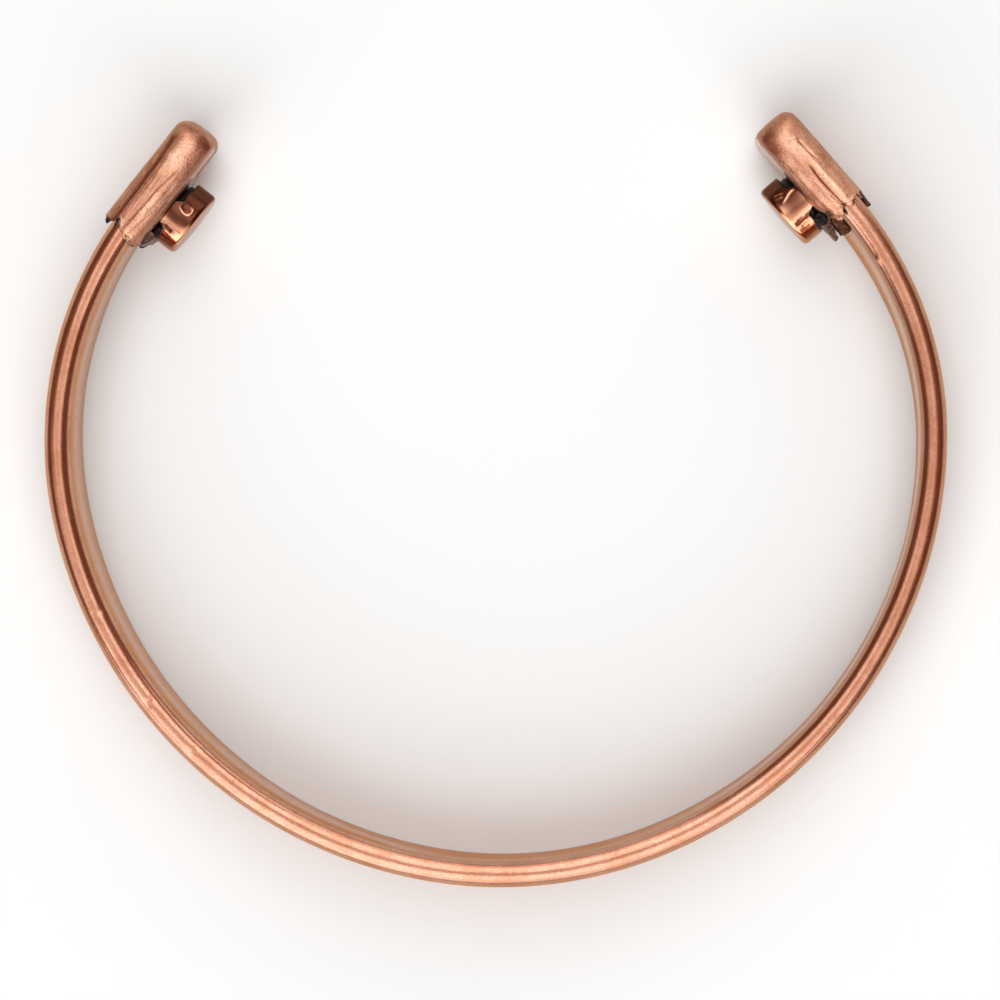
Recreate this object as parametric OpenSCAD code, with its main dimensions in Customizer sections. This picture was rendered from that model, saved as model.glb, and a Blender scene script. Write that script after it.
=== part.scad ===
// Open copper cuff with a folded sheet cap on each end.
// Each cap carries a small copper cup that holds a disc magnet against the wrist.
// The cuff lies on its side: +Z runs through the wrist opening, +Y points to the gap between the ends,
// and the origin is on the resting plane under the middle of the whole object. Millimetres.

/* [Band] */
// Thickness of the copper strip, from its outer to its wrist face
band_t = 1.95; // [1.7:0.05:2.1]
// Width of the strip, along the wrist
band_w = 8; // [6.5:0.5:10]
// Rounding of the strip's four long edges
band_edge_r = 0.7; // [0.4:0.05:0.75]

/* [End caps] */
// Thickness of a cap, from its outer to its wrist face
cap_t = 3.45; // [3.3:0.05:3.7]
// How far a cap stands past each long edge of the strip
cap_side = 0.4; // [0.3:0.05:0.6]
// Radius of the folds that run along a cap
cap_fold_r = 1.4; // [1:0.1:1.6]
// Radius of a cap's tip, seen along the wrist opening
tip_r = 0.8; // [0.5:0.1:1.1]
// Radius of a cap's tip, seen from the outer side
tip_side_r = 1.3; // [0.8:0.1:1.6]
// Metal at the closed tip
tip_wall = 0.6; // [0.4:0.1:0.9]
// Thickness of the copper sheet at the open mouth
sheet_t = 0.33; // [0.25:0.01:0.4]
// Gap between a cap and the strip inside it
fit_gap = 0.08; // [0.05:0.01:0.12]

/* [Magnet cups] */
// Outer diameter of a cup
cup_d = 5.33; // [5:0.01:5.6]
// Height of a cup, from its rim to its wrist face
cup_h = 1.65; // [1.4:0.05:1.8]
// Thickness of the drawn cup
cup_wall = 0.35; // [0.25:0.05:0.4]
// Rounding between a cup's side and its wrist face
cup_edge_r = 0.4; // [0.2:0.05:0.45]
// Open space between each rim and its cap, where the magnet shows
left_rim_gap = 0.55; // [0.3:0.05:0.7]
right_rim_gap = 0.7; // [0.3:0.05:0.8]
// Width of each of the two tabs that carry a cup
tab_w = 1.95; // [1.5:0.05:2.4]
// From a cap's tip to the middle of its cup
cup_from_tip = 6.05; // [5.5:0.05:6.3]

/* [Magnets] */
// Diameter of a disc magnet
magnet_d = 4.5; // [4:0.05:4.52]
// Bevel on a magnet's edges
magnet_bevel = 0.15; // [0.05:0.05:0.3]

/* [Hidden] */
$fn = 96;

// The strip is a run of arcs that meet without a kink, from the left mouth round to the right one.
BEND_RADIUS = 0;
BEND_TURN = 1;
// Columns: radius of the outer face, degrees that the strip turns
BENDS = [
    [14.0, 2.5],
    [29.1, 47.5],
    [34.9, 68.7],
    [32.7, 31.9],
    [34.4, 67.9],
    [27.5, 36.3],
    [18.0, 4.8],
];
// Where the outer face leaves the left cap's straight part, and the direction that it runs there
START_AT = [-28.175, 21.99];
START_HEADING = 231.55;

// From the end of the bends to each cap's tip
LEFT_REACH = 8.36;
RIGHT_REACH = 9.1;
// Sheet and folds over the strip's outer face
LEFT_OUTER_WALL = 0.72;
RIGHT_OUTER_WALL = 0.45;
// Mean turn of the strip inside each mouth, towards the wrist
LEFT_MOUTH_TURN = 2.7;
RIGHT_MOUTH_TURN = 0.8;
MOUTH_RUN = 3;
// The hollow's extra width past the straight part
MOUTH_FLARE = 0.04;
// Turn of each cup's tabs about the cup's own axis: the upper tab of the left cup goes
// towards the mouth, and that of the right cup towards the tip
LEFT_TAB_TURN = 7;
RIGHT_TAB_TURN = 7;

// The ragged edge of each mouth. Columns: from the cap's outer face, from the tip
LEFT_MOUTH = [
    [0, 9.84],
    [sheet_t, 9.84],
    [0.5, 9.1],
    [0.95, 9.06],
    [1.7, 9.66],
    [2.5, 10.0],
    [cap_t, 10.1],
];
RIGHT_MOUTH = [
    [0, 9.5],
    [sheet_t, 9.5],
    [sheet_t + 0.05, 8.24],
    [1.6, 8.3],
    [2.5, 8.84],
    [3.2, 8.32],
    [cap_t, 8.4],
];

// Creases pressed into both long edges of a cap.
// Columns: from the outer face at the tip end, the same at the mouth, from the tip, half width
LEFT_CREASES = [
    [0.5, 0.8, 2.6, 0.2],
    [1.3, 1.75, 3.6, 0.1],
    [1.9, 2.35, 4.4, 0.1],
];
RIGHT_CREASES = [
    [0.7, 0.65, 2.9, 0.17],
    [1.15, 1.55, 2.2, 0.12],
    [1.9, 1.65, 3.9, 0.1],
];
crease_depth = 0.16;
CREASE_OPEN = 0.3;
// Past the mouth, measured from the tip
CREASE_RUN = 12;

// Two torn pieces of sheet at the right mouth, on the wrist side.
// Where they start and end, measured from the tip, and their lowest and highest edges
FLAP_FROM = 7.8;
FLAP_TO = 9.75;
FLAP_Z = [1.6, 7.2];
TONGUE_Z = [3.0, 6.6];
// The tongue's point: from the cap's outer face, from the tip
TONGUE_TIP = [3.83, 10];
flap_t = 2 * sheet_t;
tongue_root = 0.55;

// Finest turn between two stations of the strip, and flats on each of its rounded edges
STATION_TURN = 3.2;
EDGE_STEPS = 4;

cap_w = band_w + 2 * cap_side;
seat_gap = 0.06;
overlap = 0.5;

function turned(i) = i == 0 ? START_HEADING : turned(i - 1) + BENDS[i - 1][BEND_TURN];
function ahead(h) = [cos(h), sin(h)];
function inward(h) = [-sin(h), cos(h)];
function bend_centre(i) = outer_point(i) + BENDS[i][BEND_RADIUS] * inward(turned(i));
function outer_point(i) =
    i == 0 ? START_AT : bend_centre(i - 1) - BENDS[i - 1][BEND_RADIUS] * inward(turned(i));

left_at = outer_point(0);
right_at = outer_point(len(BENDS));
left_way = turned(0) + 180;
right_way = turned(len(BENDS));

// In each end's own frame, x runs to the tip and y from the strip's outer face to the wrist.
// z is up at the right end and down at the left one, from the object's highest plane.
module at_left() {
    translate([left_at.x, left_at.y, cap_w]) rotate(left_way) rotate([180, 0, 0]) children();
}

module at_right() {
    translate([right_at.x, right_at.y, 0]) rotate(right_way) children();
}

module rounded_rectangle(x, y, r) {
    translate([r, 0]) square([x - 2 * r, y]);
    translate([0, r]) square([x, y - 2 * r]);
    for (i = [r, x - r], j = [r, y - r])
        translate([i, j]) circle(r);
}

// The strip's section, with x inwards from the outer face and y up
module band_section(grow) {
    translate([-grow, cap_side - grow])
        rounded_rectangle(band_t + 2 * grow, band_w + 2 * grow, band_edge_r + grow);
}

module along_x(length) {
    rotate([90, 0, 90]) linear_extrude(length) children();
}

// The same section as points, with each long edge's rounding in EDGE_STEPS flats
band_outline = [
    for (corner = [0 : 3], step = [0 : EDGE_STEPS])
        let (
            right = corner == 0 || corner == 3,
            top = corner < 2,
            a = 90 * (corner + step / EDGE_STEPS)
        )
        [
            (right ? band_t - band_edge_r : band_edge_r) + band_edge_r * cos(a),
            cap_side + (top ? band_w - band_edge_r : band_edge_r) + band_edge_r * sin(a),
        ]
];

// Stations along the outer face. Columns: point, direction of travel
strip_stations = concat(
    [[left_at - (LEFT_REACH - tip_wall - fit_gap) * ahead(turned(0)), turned(0)]],
    [
        for (i = [0 : len(BENDS) - 1])
            let (steps = ceil(BENDS[i][BEND_TURN] / STATION_TURN))
                for (k = [0 : steps - 1])
                    let (h = turned(i) + BENDS[i][BEND_TURN] * k / steps)
                        [bend_centre(i) - BENDS[i][BEND_RADIUS] * inward(h), h]
    ],
    [for (x = [0, RIGHT_REACH - tip_wall - fit_gap]) [right_at + x * ahead(right_way), right_way]]
);

module strip() {
    n = len(band_outline);
    last = len(strip_stations) - 1;
    points = [
        for (s = strip_stations, p = band_outline)
            concat(s[0] + p.x * inward(s[1]), p.y)
    ];
    sides = [
        for (j = [0 : last - 1], k = [0 : n - 1])
            [j * n + k, (j + 1) * n + k, (j + 1) * n + (k + 1) % n, j * n + (k + 1) % n]
    ];
    ends = [[for (k = [0 : n - 1]) k], [for (k = [n - 1 : -1 : 0]) last * n + k]];
    polyhedron(points, concat(sides, ends));
}

// The hollow in a cap: straight to the tip, and turned a little at the mouth as the strip bends away
module cavity(reach, mouth_turn) {
    translate([-overlap, 0, 0]) along_x(reach - tip_wall + overlap) band_section(fit_gap);
    rotate(-mouth_turn) translate([-MOUTH_RUN, 0, 0]) along_x(MOUTH_RUN) band_section(fit_gap + MOUTH_FLARE);
}

// The cap's shape seen along the wrist opening: a rounded tip and a ragged mouth
module cap_outline(reach, outer_wall, mouth, length) {
    last = mouth[len(mouth) - 1];
    translate([reach, -outer_wall]) intersection() {
        translate([-length, 0]) rounded_rectangle(length, cap_t, tip_r);
        polygon(concat(
            [[overlap, cap_t + overlap], [overlap, -overlap], [-mouth[0][1], -overlap]],
            [for (p = mouth) [-p[1], p[0]]],
            [[-last[1], cap_t + overlap]]
        ));
    }
}

// The cap's shape seen from its outer side
module cap_side_view(reach, length) {
    translate([reach - length, 0]) {
        square([length - tip_side_r, cap_w]);
        translate([0, tip_side_r]) square([length, cap_w - 2 * tip_side_r]);
        for (z = [tip_side_r, cap_w - tip_side_r])
            translate([length - tip_side_r, z]) circle(tip_side_r);
    }
}

module cap_block(reach, outer_wall, mouth) {
    length = max([for (p = mouth) p[1]]) + 2 * tip_side_r;
    intersection() {
        translate([0, 0, -overlap])
            linear_extrude(cap_w + 2 * overlap) cap_outline(reach, outer_wall, mouth, length);
        translate([reach - length, -outer_wall, 0])
            along_x(length) rounded_rectangle(cap_t, cap_w, cap_fold_r);
        translate([0, cap_t, 0]) rotate([90, 0, 0])
            linear_extrude(2 * cap_t) cap_side_view(reach, length);
    }
}

// How far a long edge's rounded face lies below its flat land, at a distance from the outer face
function fold_drop(v) =
    let (near = min(v, cap_t - v))
    near >= cap_fold_r ? 0 : cap_fold_r - sqrt(pow(cap_fold_r, 2) - pow(cap_fold_r - near, 2));

module crease(reach, outer_wall, row, z, up) {
    half = row[3];
    run = CREASE_RUN - row[2];
    drift = atan2(row[1] - row[0], run);
    drop = fold_drop((row[0] + row[1]) / 2);
    translate([reach - row[2], row[0] - outer_wall, z - up * drop])
        rotate(180 - drift)
            along_x(run)
                polygon([
                    [-half, up * CREASE_OPEN], [half, up * CREASE_OPEN],
                    [half, 0], [0, -up * crease_depth], [-half, 0],
                ]);
}

module cap_creases(reach, outer_wall, rows) {
    for (row = rows) {
        crease(reach, outer_wall, row, cap_w, 1);
        crease(reach, outer_wall, row, 0, -1);
    }
}

// A cup's frame: z points from the cap to the wrist, and x to the cap's tip
module on_cap(reach, outer_wall) {
    translate([reach - cup_from_tip, cap_t - outer_wall, cap_w / 2]) rotate([-90, 0, 0]) children();
}

module cup(rim_gap, tab_turn) {
    r = cup_d / 2;
    bore_r = r - cup_wall;
    difference() {
        union() {
            translate([0, 0, rim_gap]) cylinder(h = cup_h - cup_edge_r, r = r);
            translate([0, 0, rim_gap]) cylinder(h = cup_h, r = r - cup_edge_r);
            translate([0, 0, rim_gap + cup_h - cup_edge_r])
                rotate_extrude() translate([r - cup_edge_r, 0]) circle(cup_edge_r);
            intersection() {
                translate([0, 0, seat_gap]) cylinder(h = rim_gap + cup_h / 2, r = r);
                rotate(tab_turn) translate([-tab_w / 2, -r, 0]) cube([tab_w, cup_d, rim_gap + cup_h / 2]);
            }
        }
        cylinder(h = rim_gap + cup_h - cup_wall, r = bore_r);
    }
}

module magnet(rim_gap) {
    r = magnet_d / 2;
    low = seat_gap;
    high = rim_gap + cup_h - cup_wall - seat_gap;
    rotate_extrude()
        polygon([
            [0, low], [r - magnet_bevel, low], [r, low + magnet_bevel],
            [r, high - magnet_bevel], [r - magnet_bevel, high], [0, high],
        ]);
}

module band() {
    color("#c27b52") strip();
}

// A whole cap, with whatever is torn loose at its mouth as children
module end_cap(reach, outer_wall, mouth, mouth_turn, creases) {
    difference() {
        union() {
            cap_block(reach, outer_wall, mouth);
            children();
        }
        cavity(reach, mouth_turn);
        cap_creases(reach, outer_wall, creases);
    }
}

// A doubled flap on the strip, and a pointed tongue that bends away towards the wrist
module right_flaps() {
    wrist_y = cap_t - RIGHT_OUTER_WALL;
    translate([RIGHT_REACH, 0, 0]) {
        translate([-FLAP_TO, band_t + fit_gap, FLAP_Z[0]])
            cube([FLAP_TO - FLAP_FROM, flap_t, FLAP_Z[1] - FLAP_Z[0]]);
        translate([0, 0, TONGUE_Z[0]])
            linear_extrude(TONGUE_Z[1] - TONGUE_Z[0])
                polygon([
                    [-FLAP_FROM, wrist_y - tongue_root],
                    [-FLAP_FROM - 1, wrist_y - tongue_root],
                    [-TONGUE_TIP[1], TONGUE_TIP[0] - RIGHT_OUTER_WALL],
                    [-FLAP_FROM - tongue_root, wrist_y],
                    [-FLAP_FROM, wrist_y],
                ]);
    }
}

module end_cap_left() {
    color("#d08a63")
        at_left() end_cap(LEFT_REACH, LEFT_OUTER_WALL, LEFT_MOUTH, LEFT_MOUTH_TURN, LEFT_CREASES);
}

module end_cap_right() {
    color("#d08a63")
        at_right()
            end_cap(RIGHT_REACH, RIGHT_OUTER_WALL, RIGHT_MOUTH, RIGHT_MOUTH_TURN, RIGHT_CREASES)
                right_flaps();
}

module magnet_cup_left() {
    color("#e09a72") at_left() on_cap(LEFT_REACH, LEFT_OUTER_WALL) cup(left_rim_gap, LEFT_TAB_TURN);
}

module magnet_cup_right() {
    color("#e09a72") at_right() on_cap(RIGHT_REACH, RIGHT_OUTER_WALL) cup(right_rim_gap, RIGHT_TAB_TURN);
}

module magnet_left() {
    color("#26242a") at_left() on_cap(LEFT_REACH, LEFT_OUTER_WALL) magnet(left_rim_gap);
}

module magnet_right() {
    color("#26242a") at_right() on_cap(RIGHT_REACH, RIGHT_OUTER_WALL) magnet(right_rim_gap);
}

band();
end_cap_left();
end_cap_right();
magnet_cup_left();
magnet_cup_right();
magnet_left();
magnet_right();
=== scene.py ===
import math

import bpy
import numpy as np
from mathutils import Matrix, Vector


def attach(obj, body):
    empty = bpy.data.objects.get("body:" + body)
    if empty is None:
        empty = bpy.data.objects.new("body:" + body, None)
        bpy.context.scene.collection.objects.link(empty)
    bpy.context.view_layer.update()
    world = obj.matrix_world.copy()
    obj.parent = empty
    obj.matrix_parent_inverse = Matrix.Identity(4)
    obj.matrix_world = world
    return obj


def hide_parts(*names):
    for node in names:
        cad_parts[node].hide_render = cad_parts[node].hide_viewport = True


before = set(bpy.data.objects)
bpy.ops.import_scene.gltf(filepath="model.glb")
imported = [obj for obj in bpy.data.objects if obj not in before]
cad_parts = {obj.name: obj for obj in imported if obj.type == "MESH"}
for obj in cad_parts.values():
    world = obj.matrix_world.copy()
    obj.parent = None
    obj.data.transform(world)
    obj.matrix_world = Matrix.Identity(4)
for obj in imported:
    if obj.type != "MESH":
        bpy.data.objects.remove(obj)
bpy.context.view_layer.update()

MM = 0.001

# The strip's sizes, as its node group names them. Each long edge falls by the crown from its crest to the
# strip's two faces
STRIP_SIZES = {"Thickness": 2.01, "Width": 8, "Edge radius": 0.6, "Crown": 0.33, "Unevenness": 0.04}
# How far the strip stands out past its solid's outer face
STRIP_SWELL = 0.06
STATION_GAP = 0.2
# The arcs that the strip runs through, from the left mouth round to the right one.
# Columns: radius of the outer face, degrees that the strip turns
BENDS = [(14, 2.5), (29.1, 47.5), (34.9, 68.7), (32.7, 31.9), (34.4, 67.9), (27.5, 36.3), (18, 4.8)]
START_AT = (-28.175, 21.99)
START_HEADING = 231.55
# Small knocks in the strip, raised where the depth is negative. Columns: x, y, height, radius, depth
KNOCKS = [
    (28.75, 18.1, 8.25, 0.28, -0.07),
    (-22.8, -19, 8.3, 0.35, 0.05),
    (-29.9, -8.4, 8.35, 0.2, 0.04),
    (-26.1, -15.3, 8.35, 0.26, 0.06),
    (31.7, 6.4, 8.3, 0.3, 0.04),
]
WRIST_AT = (0.1, 4.8)
# The strip is slightly twisted.
# Columns: degrees round the wrist from the right, how far the floor edge leans inwards
TWIST = [
    (151, 0.14), (158, 0.2), (165, 0.25), (185, 0.33), (200, 0.33), (225, 0.18), (240, 0.02), (270, -0.12),
    (300, -0.1), (320, -0.19), (345, -0.19), (360, 0.03), (370, 0.24), (375, 0.36), (380, 0.53), (385, 0.62),
    (389, 0.66), (396, 0.5),
]

# The caps: their section, and the rounding of their tips seen along the wrist opening and from the outside
CAP_THICK = 3.45
CAP_WIDTH = 8.8
CAP_FOLD = 1.4
TIP_ROUND = 0.8
TIP_SIDE_ROUND = 1.3
TIP_CROWN = 0.16
# How far a crease's lip may stand out above a cap's upper edge
LIP_PROUD = 0.08
# The hollow in a cap: the metal at its tip, the sheet round it, and the rounding of its folds
TIP_WALL = 0.9
SHEET = 0.33
LINING_FOLD = 0.8
# The notch in a cap's wrist face near the mouth
BITE_FROM_TIP = 8
BITE_REACH = 0.55
# Rings of a cap's mesh: over the flat of its tip, round the tip, along the cap, and back along its hollow
TIP_ROWS = 7
ROUND_ROWS = 19
RUN_ROWS = 190
LINING_ROWS = 12
# The height of everything's middle, since the caps' long edges rest on the floor
MID_HEIGHT = CAP_WIDTH / 2

# The ragged edge of each mouth. Columns: from the outer face, from the tip
LEFT_MOUTH = [
    (0, 9.4), (0.17, 9.5), (0.3, 9.76), (0.42, 9.86), (0.5, 9.8), (0.6, 9.5), (0.85, 9.35),
    (0.98, 8.95), (1.3, 9.1), (1.55, 9.5), (1.88, 9.66), (2.05, 9.82), (2.4, 9.96), (2.83, 10.06),
    (3.2, 10.1), (3.45, 9.6),
]
RIGHT_MOUTH = [
    (0, 9.5), (0.3, 9.6), (0.42, 8.3), (0.75, 8.3), (0.9, 8.5), (1.15, 8.6), (1.45, 8.62), (1.6, 8.35),
    (1.8, 8.35), (2, 8.5), (2.2, 8.85), (2.6, 9), (2.8, 8.85), (3.1, 8.4), (3.45, 8.35),
]
# Lines pressed into a cap's long edges, or raised where the depth is negative.
# Columns: half width, depth, points (from the tip, from the outer face)
LEFT_LINES = [
    (0.2, 0.13, [(1.2, 0.4), (2.6, 0.55), (3.9, 0.6), (5.2, 0.64), (7.9, 0.7), (13, 0.8)]),
    (0.14, -0.04, [(2.4, 0.2), (5, 0.28), (9.4, 0.3)]),
    (0.045, 0.03, [(3.3, 1.04), (4.5, 0.96), (5.5, 0.98), (6.5, 1.02), (8, 1.04), (9.6, 1.1)]),
    (0.045, 0.02, [(4.4, 1.2), (6, 1.2), (8.4, 1.26)]),
    (0.2, -0.05, [(3.6, 1.3), (5.5, 1.38), (7.8, 1.42), (9.6, 1.5)]),
    (0.04, 0.025, [(5.6, 1.5), (7.4, 1.56), (9.4, 1.62)]),
    (0.04, 0.02, [(4, 1.68), (5.2, 1.62), (6.6, 1.66), (8.6, 1.7)]),
    (0.07, 0.06, [(3, 2.38), (4.5, 2.07), (5.95, 1.92), (7.5, 1.84), (8.4, 1.78), (9.9, 1.76)]),
    (0.22, -0.05, [(3.4, 2.66), (5, 2.36), (7, 2.2), (9.6, 2.1)]),
    (0.04, 0.025, [(5, 2.3), (6.6, 2.16), (8.8, 2.02)]),
    (0.045, 0.035, [(4.2, 2.82), (5, 2.73), (5.9, 2.62), (6.9, 2.56), (8, 2.48)]),
    (0.05, 0.035, [(7, 2.84), (8.5, 2.5), (10, 2.3)]),
    (0.16, -0.03, [(6.2, 3), (9.8, 2.8)]),
    (0.05, 0.03, [(5.2, 3.14), (10.2, 3.08)]),
]
RIGHT_LINES = [
    (0.09, 0.09, [(2, 1.04), (2.7, 1.12), (3.4, 1.12), (3.95, 1.02), (4.6, 0.86)]),
    (0.14, -0.05, [(2.3, 0.84), (3.3, 0.86), (4.3, 0.7)]),
    (0.13, 0.02, [(2.4, 0.58), (4.5, 0.54), (6, 0.57), (7.6, 0.62), (8.6, 0.7)]),
    (0.3, -0.09, [(2.6, 1.36), (4.4, 1.3), (6.4, 1.26), (8.5, 1.14)]),
    (0.05, 0.02, [(4.6, 1), (6.8, 0.92), (8.3, 0.92)]),
    (0.045, 0.02, [(5, 1.3), (6.6, 1.3), (8.2, 1.34)]),
    (0.075, 0.1, [(3.9, 1.66), (5.7, 1.79), (6.6, 1.79), (7.4, 1.74), (10, 1.6)]),
    (0.04, 0.03, [(4.8, 1.62), (6, 1.66), (7.2, 1.6)]),
    (0.045, 0.05, [(6.6, 2.02), (7.6, 1.93), (8.6, 1.74)]),
    (0.05, 0.025, [(4.8, 2.16), (6.4, 2.26), (7.8, 2.24)]),
    (0.24, -0.06, [(3.6, 2.9), (5.6, 2.72), (8.6, 2.5)]),
    (0.09, 0.08, [(8, 1.68), (8.9, 1.66)]),
    (0.08, 0.04, [(2.8, 3.02), (8.6, 2.98)]),
    (0.045, 0.025, [(3.4, 2.42), (4.6, 2.5), (6, 2.46)]),
]
# Painted shade on a cap's long edges, brown along its folds and creases, its wrist edge and its tip, and
# painted highlights, pale, where how much is negative.
# Columns: from the tip, from the outer face, reach along, reach across, how much
LEFT_PAINTED_LIGHT = [
    (1.1, 3, 1.6, 0.6, 0.1), (4.5, 3.1, 3.8, 0.45, 0.4), (0.3, 1.7, 0.45, 3, 0.6),
    (2, 0.5, 1, 0.2, 0.35), (6.6, 0.66, 4, 0.2, 0.45), (0.9, 0.9, 0.4, 0.3, 0.3),
    (0.6, 2.6, 0.5, 0.8, 0.25), (2.7, 1.5, 1.2, 0.6, -0.6), (7.5, 2.2, 1.8, 0.3, -0.4),
    (9.3, 1.8, 0.6, 0.8, -0.5),
]
RIGHT_PAINTED_LIGHT = [
    (1.4, 2.95, 0.9, 0.35, 0.5), (5.5, 0.35, 4, 0.25, 0.15), (6, 3.2, 4.5, 0.4, 0.55),
    (5.5, 2.35, 2.5, 0.14, 0.3), (3.5, 2.2, 1.2, 0.2, 0.25), (0.3, 1.7, 0.45, 3, 0.35),
    (2.1, 1.5, 1, 0.6, -0.5), (6.2, 1.25, 2.6, 0.22, -0.9),
]
# Broad hollows in a cap's long edges, and lumps where the depth is negative.
# Columns: from the tip, from the outer face, reach along, reach across, depth
LEFT_HOLLOWS = [
    (1.6, 2.7, 1.6, 0.9, 0.06), (2.3, 1.5, 1.2, 0.7, -0.05),
    (8.98, 1.15, 0.15, 0.16, -0.06), (9.35, 1.45, 0.14, 0.12, -0.06), (9.62, 1.8, 0.14, 0.14, -0.07),
    (9.85, 2.25, 0.16, 0.18, -0.06), (9.95, 2.75, 0.15, 0.2, -0.05), (9.2, 1, 0.1, 0.1, 0.05),
]
RIGHT_HOLLOWS = [
    (1.3, 2.9, 1.2, 0.8, 0.09), (2, 1.6, 1, 0.8, -0.05),
    (8.4, 1.08, 0.22, 0.36, -0.08), (8.85, 2.45, 0.2, 0.28, -0.07), (8.3, 2, 0.14, 0.14, -0.05),
]

# Torn leftovers of sheet beside the mouths. Columns: from the tip, from the outer face
SQUARE_FLAP = [
    (8.3, 2.9), (8.6, 2.6), (9.05, 2.5), (9.4, 2.42), (10.02, 2.5), (10.12, 2.72), (9.95, 3.2), (8.6, 3.2),
]
POINTED_FLAP = [
    (8, 3.15), (8.8, 3.22), (9.2, 3.33), (9.92, 3.55), (9.98, 3.84), (9.24, 3.9), (8.5, 4), (8.1, 3.9),
]
CORNER_FLAP = [
    (8.3, 3.3), (9, 3.2), (9.6, 3.22), (9.62, 3.48), (9.35, 3.74), (8.85, 3.95), (8.5, 4), (8.25, 3.7),
]
FLAP_ROWS = 16
FLAP_STEPS = 8
# How much a flap narrows at its top and bottom, how far they bow to the wrist, and how rough it is
FLAP_TAPER = 0.12
FLAP_BOW = 0.1
FLAP_ROUGH = 0.025

# The cups. Each is cut back to its rim between two tabs, whose half width, flare and turn are in degrees
CUP_D = 5.33
CUP_H = 1.65
CUP_WALL = 0.35
CUP_EDGE = 0.38
CUP_FROM_TIP = 6.05
CUP_DOME = 0.1
SEAT_GAP = 0.06
TAB_HALF = 21.5
TAB_FLARE = 9
TAB_TURN = 7
CUP_SIDES = 240
CUP_EDGE_ROWS = 13
CUP_SIDE_ROWS = 40
# Lines pressed into a cup's side, or raised where the depth is negative.
# Columns: half width, depth, points (along the side from the top, above the cap)
LEFT_PLEATS = [
    (0.07, -0.04, [
        (0.61, 0.38), (0.39, 0.8), (0.28, 1.2), (0.44, 1.5), (0.8, 1.58), (1.02, 1.42), (1, 1.05),
    ]),
    (0.22, 0.04, [(0.8, 0.6), (0.72, 1.2)]),
    (0.18, 0.05, [(-1.4, 0.3), (-1.42, 1.25)]),
    (0.07, -0.03, [(-1.68, 0.45), (-1.78, 1.5)]),
]
RIGHT_PLEATS = [
    (0.1, -0.05, [(1.26, 0.05), (1.28, 0.7), (1.08, 1.15), (0.93, 1.8)]),
    (0.07, -0.03, [(1.57, 2), (1.42, 1.64), (1.33, 1.23)]),
    (0.07, -0.03, [(1.85, 1.9), (1.7, 1.5), (1.6, 1.1)]),
    (0.15, 0.006, [(-0.9, 0.95), (-0.88, 1.7)]),
    (0.15, 0.006, [(-1.28, 0.95), (-1.48, 1.7)]),
    (0.15, 0.006, [(-1.76, 0.8), (-2.03, 1.75)]),
]
# Places on a cup's side that are browned, partly as tarnish and partly as painted shade, by the tab and in
# the pleats' pockets. Columns: along the side, above the cap, reach along, reach up, how much
LEFT_BROWN_AND_SHADE = [
    (0.15, 0.8, 1.15, 1.5, 1.3), (2.4, 1.2, 1.9, 1.8, 1.4), (-2.7, 1.2, 0.6, 1.6, 0.6),
    (-1.42, 0.8, 0.26, 0.65, 1.1),
]
RIGHT_BROWN_AND_SHADE = [
    (0.3, 0.8, 0.95, 1.35, 0.92), (2.7, 1.2, 1.6, 1.8, 1.1), (-2.7, 1.2, 0.6, 1.6, 0.5),
    (1.6, 1, 0.5, 1.6, 0.6), (-0.89, 1.4, 0.12, 0.35, 0.4), (-1.4, 1.35, 0.12, 0.4, 0.4),
]

# The magnets
MAGNET_D = 4.5
MAGNET_BEVEL = 0.15
MAGNET_SIDES = 96
MAGNET_ROWS = 12

# What the pieces' surfaces are shaded with, besides their copper: black, partly as painted shadow, brown,
# partly as painted shade, pale, on the caps as painted highlights, and a clear film
SHADES = ("oxide_and_shadow", "brown", "pale_and_highlight", "film")
# Black for oxide and for painted shadow
OXIDE_AND_SHADOW_BLACK = (0.025, 0.014, 0.011)
# Edges sharper than this are shaded as edges
SHARP_FROM = math.radians(50)

# The camera looks almost straight down through the wrist opening
CAMERA_AT = (11.501, 15.593, 414.4)
CAMERA_TARGET = (0.43, 0.06, 8.4)
CAMERA_LENS = 193.95

# The studio. Columns: name, from and to in degrees from straight above towards +Y, from and to towards +X,
# brightness, colour
WHITE = (1, 1, 1)
WARM = (1, 0.9, 0.83)
LAMPS = [
    ("front", -42, -14, -33, 25, 2.35, WHITE),
    ("back", 4, 46, -20, 18, 2.3, WHITE),
    ("middle", -14, 4, -3.4, 1.2, 0.2, WARM),
    ("middle_left", -14, -4, -34, -3.4, 0.9, WARM),
    ("middle_left_back", -4, 4, -21, -3.4, 0.95, WARM),
    ("middle_right", -14, -3, 1.2, 24, 1.3, WARM),
    ("middle_back", -3, 4, 1.2, 18, 1, WARM),
    ("front_left", -82, -42, -55, -8, 2.3, WHITE),
    ("front_right", -82, -42, -8, 42, 1.6, WHITE),
    ("back_right", 16, 30, 20, 29, 1.2, WARM),
    ("back_low", 46, 80, -30, 50, 1.4, WARM),
]
ROOM_TINT = (0.27, 0.108, 0.055)
FLOOR_TINT = (0.935, 0.955, 0.96)
FLOOR_SIZE = 6


class Wire:
    """A node's output. Sums and products of wires add Math nodes to their tree."""

    def __init__(self, tree, socket):
        self.tree = tree
        self.socket = socket

    def __getitem__(self, name):
        """Another output of the same node."""
        return Wire(self.tree, self.socket.node.outputs[name])

    def math(self, operation, *values, clamp=False):
        settings = {"operation": operation, "use_clamp": clamp}
        return self.tree.add("ShaderNodeMath", settings, dict(enumerate(values)))

    def __add__(self, other):
        return self.math("ADD", self, other)

    __radd__ = __add__

    def __sub__(self, other):
        return self.math("SUBTRACT", self, other)

    def __rsub__(self, other):
        return self.math("SUBTRACT", other, self)

    def __mul__(self, other):
        return self.math("MULTIPLY", self, other)

    __rmul__ = __mul__

    def __pow__(self, other):
        return self.math("POWER", self, other)

    def clamped(self):
        return self.math("ADD", self, 0, clamp=True)


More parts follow.
